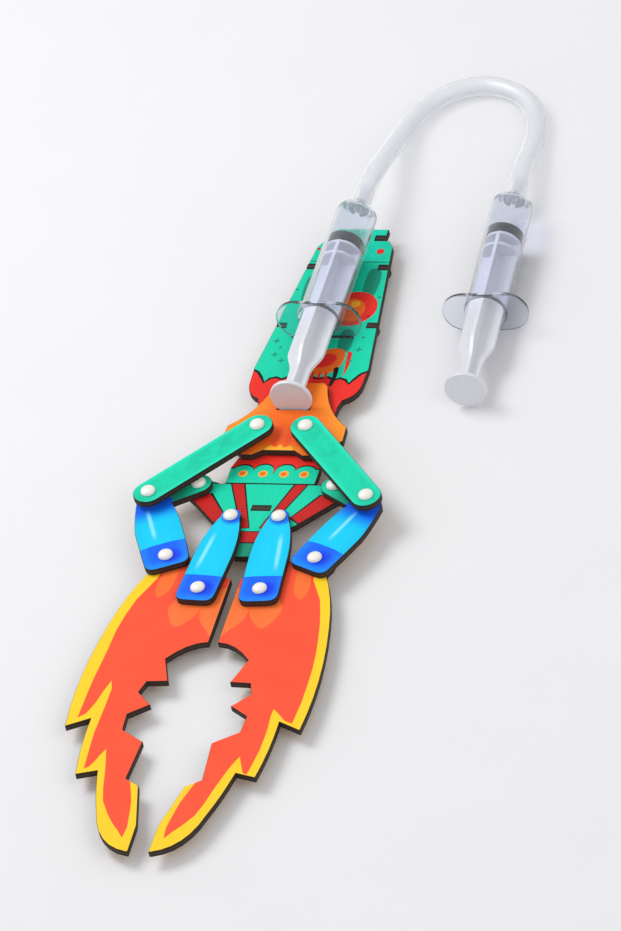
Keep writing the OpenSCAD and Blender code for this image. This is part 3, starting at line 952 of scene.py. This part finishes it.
def body_prints():
    """Print on the body and tail of the base plate, with painted shadow of the barrel beside it."""
    jag = [
        (30, 85.5), (25, 85.0), (22.5, 83.5), (20.4, 80.4), (18.6, 77.2), (16.6, 79.6),
        (14.0, 80.6), (11.4, 79.4), (8.6, 81.2), (4.4, 80.2), (0, 81.5),
    ]
    edge = jag + [(-x, y) for x, y in jag[-2::-1]]
    prints = [
        ("red", [(-31, 60), (31, 60)] + edge),
        ("ink", line(edge, 1.3)),
        # The first and third patches below lie right of the barrel and are its painted shadow; the second, left of
        # the barrel, is a darker green panel.
        ("deep_green", curve([(10.6, 131), (15.6, 132), (15.8, 146), (10.2, 147.5)])),
        ("deep_green", curve([(-15.2, 128), (-11.0, 129), (-11.4, 143), (-15.6, 142)])),
        ("deep_green", curve([(9.0, 96), (13.6, 99), (12.8, 110), (7.4, 110.5)])),
        ("deep_green", line([(-18.5, 152.8), (18.5, 152.8)], 0.7)),
        ("red", circle((9.0, 124.0), 10.2, 40)),
        ("orange", circle((7.2, 123.0), 6.9, 32)),
        ("yellow", curve([(8.2, 124.6), (11.2, 125.8), (10.4, 128.2), (7.2, 128.0)])),
        ("orange", curve([(-1, 84), (3, 82.4), (9, 84), (12.6, 90), (11.8, 97.4), (6.0, 98.8), (0, 94)])),
        ("red", curve([(0, 88), (4, 87), (8.4, 89.4), (9.2, 94), (5.4, 95.6), (1, 92.6)])),
        ("red", [(13.2, 97.5), (15.4, 96.5), (16.0, 89.0), (14.9, 81.5), (14.2, 89.0)]),
        ("ink", curve([(9.8, 86.4), (11.6, 87.2), (12.2, 82.4), (11.4, 76.0), (10.0, 76.4), (10.4, 82.0)])),
    ]
    for x in (1.4, 4.4, 7.2):
        prints.append(("red", [(x - 0.9, 80.6), (x + 0.9, 80.6), (x + 0.3, 84.2), (x - 0.3, 84.2)]))
    for x, y in ((17.6, 98.5), (-18.2, 94.5), (-14.6, 91.0), (-19.4, 103.0)):
        prints += plus_mark(x, y)
    for x, y in ((15.6, 91.5), (-16.8, 99.0), (18.6, 131.0), (-18.6, 135.0), (17.8, 106.0)):
        prints.append(("deep_green", circle((x, y), 0.7, 10)))
    prints += both("red", circle((11.8, 159.4), 1.7, 18))
    prints += [("dark_red", circle((16.5, 119.0), 0.9, 12)), ("dark_red", circle((-15.5, 160.5), 0.8, 12))]
    return prints


class ARM_OT_base_plate(Operator):
    """Printed plate that is nose, head, neck, body and tail"""

    bl_idname = "arm.base_plate"
    bl_label = "Base plate"

    def execute(self, context):
        printed_board("base_plate", "green", head_prints() + body_prints())
        return {"FINISHED"}


class ARM_OT_ribs(Operator):
    """Bare plywood ribs and foot under the base plate"""

    bl_idname = "arm.ribs"
    bl_label = "Ribs and foot"

    def execute(self, context):
        for node in ("head_foot", "flange_rib", "middle_rib", "rear_rib"):
            standing_board(node)
        return {"FINISHED"}


class ARM_OT_slider(Operator):
    """Orange slider plate"""

    bl_idname = "arm.slider"
    bl_label = "Slider"

    def execute(self, context):
        tongue = [(-6.2, 33.2), (-4.6, 35.2), (-1.8, 33.9), (0, 35.8), (1.8, 33.9), (4.6, 35.2), (6.2, 33.2)]
        prints = [("yellow", [*tongue, (6.4, 30), (-6.4, 30)])]
        printed_board("slider", "slider", prints)
        return {"FINISHED"}


class ARM_OT_links(Operator):
    """Green links from the slider to the cranks"""

    bl_idname = "arm.links"
    bl_label = "Links"

    def execute(self, context):
        for name in SIDES:
            printed_board(f"link_{name}", "link", [])
        return {"FINISHED"}


class ARM_OT_cranks(Operator):
    """Cranks with a green short arm and a blue blade"""

    bl_idname = "arm.cranks"
    bl_label = "Cranks"

    def execute(self, context):
        length = (LINK_PIN - CRANK_JAW_PIN).length
        blade = [
            (11, -10), (-11, -10), (-11, length / 2), (-10, length - 4.5),
            (-7, length + 9), (6, length + 9), (10.4, length - 8.5), (11, length / 2),
        ]
        end = [(11.5, -10), (-11.5, -10), (-11.5, 7.0), (-4, 8.0), (4, 8.0), (11.5, 7.0)]
        for name, side in SIDES.items():
            prints = [
                ("blade", sided(framed(CRANK_JAW_PIN, LINK_PIN, [(-x, y) for x, y in blade]), side)),
                ("crank_end", sided(framed(CRANK_JAW_PIN, LINK_PIN, end), side)),
            ]
            printed_board(f"crank_{name}", "arm", prints)
        return {"FINISHED"}


class ARM_OT_fingers(Operator):
    """Blue fingers"""

    bl_idname = "arm.fingers"
    bl_label = "Fingers"

    def execute(self, context):
        end = [(10.5, -10), (-10.5, -10), (-10.5, 7.6), (-4, 8.0), (4, 8.0), (10.5, 7.6)]
        for name, side in SIDES.items():
            prints = [("finger_end", sided(framed(FINGER_JAW_PIN, FINGER_PIVOT, end), side))]
            printed_board(f"finger_{name}", "finger", prints)
        return {"FINISHED"}


class ARM_OT_jaws(Operator):
    """Flame-shaped jaws"""

    bl_idname = "arm.jaws"
    bl_label = "Jaws"

    def execute(self, context):
        border = [(30, -20), (34.0, -44)]
        right_top = [
            (39.6, -55.2), (41.5, -62.2), (43.4, -70.3), (45.0, -79.5), (46.3, -88.6), (47.1, -97.7),
            (47.4, -107.8), (47.5, -118.0), (47.0, -126.1), (46.6, -131.0), (43.0, -129.3),
            (39.9, -125.8), (36.6, -122.3), (36.3, -126.4), (36.9, -133.5), (37.0, -140.6),
            (36.8, -147.7), (36.0, -154.3), (35.4, -159.4), (34.8, -162.2), (33.0, -161.4),
            (29.2, -151.5), (26.9, -157.1), (25.2, -163.2), (22.6, -173.5), (21.1, -180.6),
        ]
        left_top = [
            (39.8, -57.1), (42.3, -67.3), (43.8, -76.5), (44.4, -87.6), (45.2, -96.8), (46.0, -106.0),
            (46.4, -114.1), (46.9, -129.8), (43.8, -127.0), (41.5, -121.0), (39.9, -113.9), (37.9, -106.8),
            (36.6, -111.9), (36.7, -120.0), (37.0, -130.2), (37.3, -138.3), (37.0, -146.4),
            (36.2, -160.6), (34.4, -159.4), (32.6, -155.9), (31.3, -152.3), (29.6, -148.3),
            (27.9, -155.4), (26.3, -163.5), (24.9, -171.6), (22.9, -179.7),
        ]
        foot = [
            (18.9, -187.6), (15.2, -193.4), (11.9, -197.6), (9.0, -201.8), (8.4, -195.2), (9.4, -187.5),
            (10.6, -179.7), (12.9, -171.7), (14.4, -166.4), (12, -164), (-5, -160), (-5, -20),
        ]
        leaves = [
            curve([(1.0, -50), (8.4, -54), (10.4, -61), (9.6, -68.4), (5.6, -74.4), (1.9, -79.2), (0.6, -74)], 4),
            curve([(10.6, -55), (11.2, -64), (13.8, -69.4), (18.6, -73.4), (22.4, -69), (24.4, -61), (18, -50)], 4),
            curve([(26, -38), (26.2, -46.8), (27.6, -52), (31.2, -55.6), (33.2, -49.6), (32.4, -42), (29.5, -35)], 4),
        ]
        for name, side in SIDES.items():
            top = right_top if side > 0 else left_top
            prints = [("flame_red", sided(border + top + foot, side))]
            prints += [("flame_orange", sided(leaf, side)) for leaf in leaves]
            printed_board(f"jaw_{name}", "flame_yellow", prints)
        return {"FINISHED"}


# ---- Rivets ----


def rivet_profile(length):
    """Domed head with a rolled rim, and a shank with a dimpled tip, from the top down."""
    dome = [(3.07 * math.sin(a), 0.62 + 1.38 * math.cos(a)) for a in (math.radians(10 * k) for k in range(1, 9))]
    return (
        [(0, 1.93), (0.42, 1.93), (0.52, 1.99)]
        + dome
        + [(3.15, 0.5), (3.2, 0.3), (3.15, 0.08), (3.0, 0), (1.5, 0)]
        + [(1.5, 0.4 - length), (1.3, 0.1 - length), (1.15, -length), (0.7, -length)]
        + [(0.5, 0.6 - length), (0, 0.6 - length)]
    )


CAP = [(1.52, 0), (3.3, 0), (3.5, -0.16), (3.46, -0.36), (2.86, -1.22), (2.62, -1.4), (1.75, -1.4), (1.52, -1.2)]


def ring_profile(inner, outer, height, edge=0.2):
    return [
        (inner, 0.0), (outer - edge, 0.0), (outer, edge), (outer, height - edge),
        (outer - edge, height), (inner, height),
    ]


def at(place, height):
    return Matrix.Translation((place[0], place[1], height))


class ARM_OT_rivets(Operator):
    """White rivets, their caps and the spacers under the links"""

    bl_idname = "arm.rivets"
    bl_label = "Rivets, caps and spacers"

    def moulded(self, node, profile, places, height, closed):
        shape = Shape()
        for place in places:
            shape.turn(profile, at(place, height), 48, closed)
        data = shape.mesh(node)
        finished(data, f"moulded_{node}", ["nylon"], [node], smooth=38)

    def execute(self, context):
        two = [sided([p], side)[0] for p in [tuple(SLIDER_PIN)] for side in (1, -1)]
        four = [sided([tuple(p)], side)[0] for p in (CRANK_PIVOT, FINGER_PIVOT) for side in (1, -1)]
        spacer = ring_profile(1.52, 3.5, 2.3)
        foot = BASE_Z - PLATE_GAP - 1.4
        self.moulded("slider_rivets", rivet_profile(LINK_TOP + SEAT_GAP - foot), two, LINK_TOP + SEAT_GAP, False)
        self.moulded("slider_rivet_caps", CAP, two, BASE_Z - PLATE_GAP, True)
        self.moulded("slider_spacers", spacer, two, MID_TOP, True)
        low = rivet_profile(MID_TOP + SEAT_GAP - BASE_Z + 1.4)
        self.moulded("base_rivets", low, four, MID_TOP + SEAT_GAP, False)
        self.moulded("base_rivet_caps", CAP, four, BASE_Z, True)
        for name, side in SIDES.items():
            crank = sided([tuple(LINK_PIN)], side)
            jaws = sided([tuple(CRANK_JAW_PIN), tuple(FINGER_JAW_PIN)], side)
            high = rivet_profile(LINK_TOP + SEAT_GAP - MID_Z + 1.4)
            self.moulded(f"crank_rivet_{name}", high, crank, LINK_TOP + SEAT_GAP, False)
            self.moulded(f"crank_rivet_cap_{name}", CAP, crank, MID_Z, True)
            self.moulded(f"crank_spacer_{name}", spacer, crank, MID_TOP, True)
            self.moulded(f"jaw_rivets_{name}", low, jaws, MID_TOP + SEAT_GAP, False)
            self.moulded(f"jaw_rivet_caps_{name}", CAP, jaws, BASE_Z, True)
        return {"FINISHED"}


# ---- Syringes ----

ALONG_Y = Matrix.Rotation(math.radians(-90), 4, "X")
ARM_SYRINGE = Matrix.Translation((0, 105.5 * MM, 17 * MM)) @ ALONG_Y
CONTROL_SYRINGE = (
    Matrix.Translation((68 * MM, 120 * MM, 10 * MM)) @ Matrix.Rotation(math.radians(4), 4, "Z") @ ALONG_Y
)
BARREL_SIDES = 72


def stadium(half_width, radius, steps=20):
    points = []
    for centre, start in ((half_width - radius, -90), (radius - half_width, 90)):
        points += [
            (
                centre + radius * math.cos(math.radians(start + 180 * k / steps)),
                radius * math.sin(math.radians(start + 180 * k / steps)),
            )
            for k in range(steps + 1)
        ]
    return points


def barrel_shape():
    """Hollow barrel with its finger flange, shoulder, cone and nozzle."""
    shape = Shape()
    body = [
        (9.7, 2.0), (9.3, 2.12), (9.06, 2.4), (9.0, 2.9), (9.0, 65.2), (8.86, 66.2), (8.4, 67.1),
        (7.6, 67.75), (6.9, 68.15), (5.0, 70.3), (4.15, 71.3), (3.95, 71.75), (3.6, 72.0),
        (2.5, 72.0), (2.28, 72.15), (2.2, 72.4), (2.1, 81.3), (1.9, 81.9), (1.6, 82.0), (1.1, 82.0),
        (1.0, 81.8), (1.0, 66.9), (1.3, 66.2), (2.0, 66.0), (6.6, 66.0), (7.5, 65.7), (8.05, 65.0),
        (8.2, 64.0), (8.2, 0.9), (8.3, 0.35), (8.55, 0.0),
    ]
    shape.turn(body, None, BARREL_SIDES)
    rims = [(0.0, 0.35, 8.55), (2.0, 0.35, 9.7)]
    edges = []
    for height, inset, hole in rims:
        outer = stadium(18.5 - inset, 10 - inset)
        start = len(shape.verts)
        points = [Vector(p) for p in outer + circle((0, 0), hole, BARREL_SIDES)]
        polygons = [
            list(range(len(outer))),
            list(range(len(outer), len(points))),
        ]
        spots, _, faces, _, _, inside = delaunay_2d_cdt(points, [], polygons, 1, 1e-5)
        kept = [list(face) for face, origins in zip(faces, inside) if origins == [0]]
        shape.add([(p.x, p.y, height) for p in spots], kept)
        edges.append([start + i for i in range(len(outer))])
    middle = []
    for height in (0.35, 1.65):
        start = len(shape.verts)
        outer = stadium(18.5, 10)
        shape.add([(x, y, height) for x, y in outer], [])
        middle.append([start + i for i in range(len(outer))])
    for low, high in zip([edges[0], *middle], [*middle, edges[1]]):
        for k in range(len(low)):
            k2 = (k + 1) % len(low)
            shape.faces.append([low[k], low[k2], high[k2], high[k]])
            shape.slots.append(0)
    return shape


class ARM_OT_barrels(Operator):
    """Clear syringe barrels"""

    bl_idname = "arm.barrels"
    bl_label = "Barrels"

    def execute(self, context):
        for node, place in (("arm_barrel", ARM_SYRINGE), ("control_barrel", CONTROL_SYRINGE)):
            data = barrel_shape().mesh(node)
            finished(data, f"clear_{node}", ["clear"], [node], place, 30)
        return {"FINISHED"}


ROD_LENGTH = 89.5


def rod_half_width(run):
    """Half width of the crossed ribs at a distance from the thumb disc."""
    if run < 4:
        return 5.5 - 1.0 * math.sin(math.pi / 2 * max(run - 1, 0) / 3)
    grow = max(0.0, min(1.0, (run - 15) / 11.5))
    return 4.5 + 3.3 * grow * grow * (3 - 2 * grow)


def cross_section(half_width, half_rib=0.8, soft=0.22):
    """Outline of the crossed ribs, with softened tips and filleted corners."""
    quarter = [
        (half_width - soft, half_rib),
        (half_rib + 2 * soft, half_rib),
        (half_rib + 0.5 * soft, half_rib + 0.5 * soft),
        (half_rib, half_rib + 2 * soft),
        (half_rib, half_width - soft),
        (half_rib - soft, half_width),
    ]
    points = []
    for turn in range(4):
        c, s = (1, 0, -1, 0)[turn], (0, 1, 0, -1)[turn]
        points += [(c * x - s * y, s * x + c * y) for x, y in [(half_width, half_rib - soft), *quarter[:-1]]]
    return points


def merged(shapes, name):
    """One mesh from closed shapes that run into each other."""
    first, *rest = [bpy.data.objects.new(name, shape.mesh(name)) for shape in shapes]
    for piece in (first, *rest):
        bpy.context.scene.collection.objects.link(piece)
    for other in rest:
        cut = first.modifiers.new("join", "BOOLEAN")
        cut.operation, cut.object, cut.solver = "UNION", other, "EXACT"
    bpy.context.view_layer.update()
    made = bpy.data.meshes.new_from_object(first.evaluated_get(bpy.context.evaluated_depsgraph_get()))
    for piece in (first, *rest):
        bpy.data.objects.remove(piece)
    return made


def plunger_mesh():
    """Rod of crossed ribs with a dished thumb disc and stiffening discs."""
    rod = Shape()
    stations = [0.0, 1.0, 1.6, 2.4, 3.2, 4.0, 9.0, 15.0]
    stations += [15 + 11.5 * k / 8 for k in range(1, 9)] + [40.0, 60.0, ROD_LENGTH - 0.3, ROD_LENGTH]
    rings = []
    for run in stations:
        points = cross_section(rod_half_width(run))
        rings.append(range(len(rod.verts), len(rod.verts) + len(points)))
        rod.add([(x, y, run) for x, y in points], [])
    for low, high in zip(rings, rings[1:]):
        for k in range(len(low)):
            k2 = (k + 1) % len(low)
            rod.faces.append([low[k], low[k2], high[k2], high[k]])
    rod.faces += [list(rings[0])[::-1], list(rings[-1])]
    rod.slots = [0] * len(rod.faces)
    thumb = Shape().turn(
        [
            (0, -0.78), (7.0, -0.78), (7.6, -0.86), (7.9, -0.98), (8.5, -1.0), (8.85, -0.85), (9, -0.55),
            (9, 0.55), (8.85, 0.85), (8.5, 1.0), (0, 1.0),
        ],
        None,
        64,
    )
    discs = [
        Shape().turn([(0, y), (7.5, y), (7.75, y + 0.25), (7.75, y + 1.25), (7.5, y + 1.5), (0, y + 1.5)], None, 56)
        for y in (ROD_LENGTH - 8, ROD_LENGTH - 1.5)
    ]
    return merged([rod, thumb, *discs], "plunger")


def seal_shape():
    """Rubber seal with two lips and a blunt cone."""
    return Shape().turn(
        [
            (0, 42.5), (7.8, 42.5), (8.1, 42.7), (8.15, 43.0), (8.15, 43.8), (7.9, 44.3), (7.65, 44.6),
            (7.65, 45.4), (7.95, 45.8), (8.15, 46.1), (8.15, 47.1), (8.0, 47.5), (7.55, 47.8),
            (5.0, 48.3), (2.0, 48.75), (0.6, 48.95), (0, 49.0),
        ],
        None,
        64,
    )


class ARM_OT_plungers(Operator):
    """Milky plungers with black seals"""

    bl_idname = "arm.plungers"
    bl_label = "Plungers and seals"

    def execute(self, context):
        back = Matrix.Translation((0, 0, -47 * MM))
        for name, place in (("arm", ARM_SYRINGE), ("control", CONTROL_SYRINGE)):
            finished(
                plunger_mesh(), f"milky_{name}_plunger", ["rod"], [f"{name}_plunger"], place @ back, 35
            )
            finished(
                seal_shape().mesh("seal"), f"black_{name}_seal", ["rubber"], [f"{name}_seal"], place, 40
            )
        return {"FINISHED"}


# ---- Stage ----


def lamp(name, power, size, place, target):
    data = bpy.data.lights.new(name, "AREA")
    data.shape, data.size, data.energy = "DISK", size, power
    made = bpy.data.objects.new(name, data)
    made.location = place
    made.rotation_euler = (Vector(target) - Vector(place)).to_track_quat("-Z", "Y").to_euler()
    bpy.context.scene.collection.objects.link(made)


class ARM_OT_stage(Operator):
    """Camera, pale floor and soft studio light"""

    bl_idname = "arm.stage"
    bl_label = "Stage"

    def camera(self, height):
        """A long lens that looks down on the claw, with the arm leaning to the right."""
        right = Vector((0.95, 0.241, -0.198)).normalized()
        back = right.cross(Vector((-0.016, 0.672, 0.740))).normalized()
        up = back.cross(right)
        target = Vector((11.98, 32.8, 2.31)) * MM
        data = bpy.data.cameras.new("camera")
        data.sensor_width, data.lens = 36, 1600
        camera = bpy.data.objects.new("camera", data)
        distance = height / 2 / (data.sensor_width / 2 / data.lens)
        turn = Matrix((right, up, back)).transposed().to_4x4()
        camera.matrix_world = Matrix.Translation(target + back * distance) @ turn
        bpy.context.scene.collection.objects.link(camera)
        bpy.context.scene.camera = camera

    def floor(self, colour):
        shader = Shader("pale_floor")
        here = shader.place()
        speck = shader.noise(here, 0.02, 3.0)
        tone = shader.mix(speck.step(0.3, 0.7) * 0.5, colour, Vector(colour) * 0.98)
        material = shader.surface(Base_Color=tone, Roughness=0.85)
        data = bpy.data.meshes.new("floor")
        half = 4.0
        data.from_pydata([(-half, -half, 0), (half, -half, 0), (half, half, 0), (-half, half, 0)], [], [(0, 1, 2, 3)])
        data.materials.append(material)
        floor = bpy.data.objects.new("floor", data)
        floor.location.z = -0.00008
        bpy.context.scene.collection.objects.link(floor)

    def sky(self, colour, strength):
        world = bpy.data.worlds.new("studio")
        bpy.context.scene.world = world
        world.use_nodes = True
        tree = world.node_tree
        tree.nodes.clear()
        path = tree.nodes.new("ShaderNodeLightPath")
        seen = None
        for name in ("Is Camera Ray", "Is Glossy Ray", "Is Transmission Ray"):
            if seen is None:
                seen = path.outputs[name]
                continue
            more = tree.nodes.new("ShaderNodeMath")
            more.operation = "MAXIMUM"
            tree.links.new(seen, more.inputs[0])
            tree.links.new(path.outputs[name], more.inputs[1])
            seen = more.outputs[0]
        light, backdrop = (tree.nodes.new("ShaderNodeBackground") for _ in range(2))
        light.inputs["Color"].default_value = (1, 1, 1, 1)
        light.inputs["Strength"].default_value = strength
        backdrop.inputs["Color"].default_value = (*colour, 1)
        backdrop.inputs["Strength"].default_value = 1
        choice = tree.nodes.new("ShaderNodeMixShader")
        end = tree.nodes.new("ShaderNodeOutputWorld")
        tree.links.new(seen, choice.inputs[0])
        tree.links.new(light.outputs[0], choice.inputs[1])
        tree.links.new(backdrop.outputs[0], choice.inputs[2])
        tree.links.new(choice.outputs[0], end.inputs["Surface"])

    def execute(self, context):
        stage = context.scene.arm_stage
        self.camera(stage.height)
        self.floor(stage.floor)
        self.sky(stage.floor, stage.sky)
        lamp("key", stage.key, 0.7, (-0.65, 0.25, 1.0), (0.0, 0.03, 0))
        lamp("fill", stage.fill, 0.9, (0.9, -0.6, 0.8), (0.02, 0.03, 0))
        context.scene.view_settings.view_transform = "Standard"
        return {"FINISHED"}


# ---- Panel ----

OPERATORS = (
    ARM_OT_stage,
    ARM_OT_hose,
    ARM_OT_base_plate,
    ARM_OT_ribs,
    ARM_OT_slider,
    ARM_OT_links,
    ARM_OT_cranks,
    ARM_OT_fingers,
    ARM_OT_jaws,
    ARM_OT_rivets,
    ARM_OT_barrels,
    ARM_OT_plungers,
)


class ARM_PT_panel(Panel):
    """Lists the arm's pieces and what can be changed about them"""

    bl_label = "Gripper Arm"
    bl_idname = "ARM_PT_panel"
    bl_space_type = "VIEW_3D"
    bl_region_type = "UI"
    bl_category = "Gripper Arm"

    def draw(self, context):
        scene = context.scene
        for group in (scene.arm_print, scene.arm_finish, scene.arm_stage):
            box = self.layout.box()
            for name in group.__annotations__:
                box.prop(group, name)
        for operator in OPERATORS:
            self.layout.operator(operator.bl_idname)


GROUPS = {"arm_print": ArmPrint, "arm_finish": ArmFinish, "arm_stage": ArmStage}


def register():
    for name, group in GROUPS.items():
        bpy.utils.register_class(group)
        setattr(bpy.types.Scene, name, PointerProperty(type=group))
    for made in (*OPERATORS, ARM_PT_panel):
        bpy.utils.register_class(made)


def unregister():
    for made in (ARM_PT_panel, *reversed(OPERATORS)):
        bpy.utils.unregister_class(made)
    for name, group in GROUPS.items():
        delattr(bpy.types.Scene, name)
        bpy.utils.unregister_class(group)


made_materials = {}


def main():
    register()
    made_materials.update(make_materials())
    for operator in OPERATORS:
        group, name = operator.bl_idname.split(".")
        getattr(getattr(bpy.ops, group), name)()


if __name__ == "__main__":
    main()
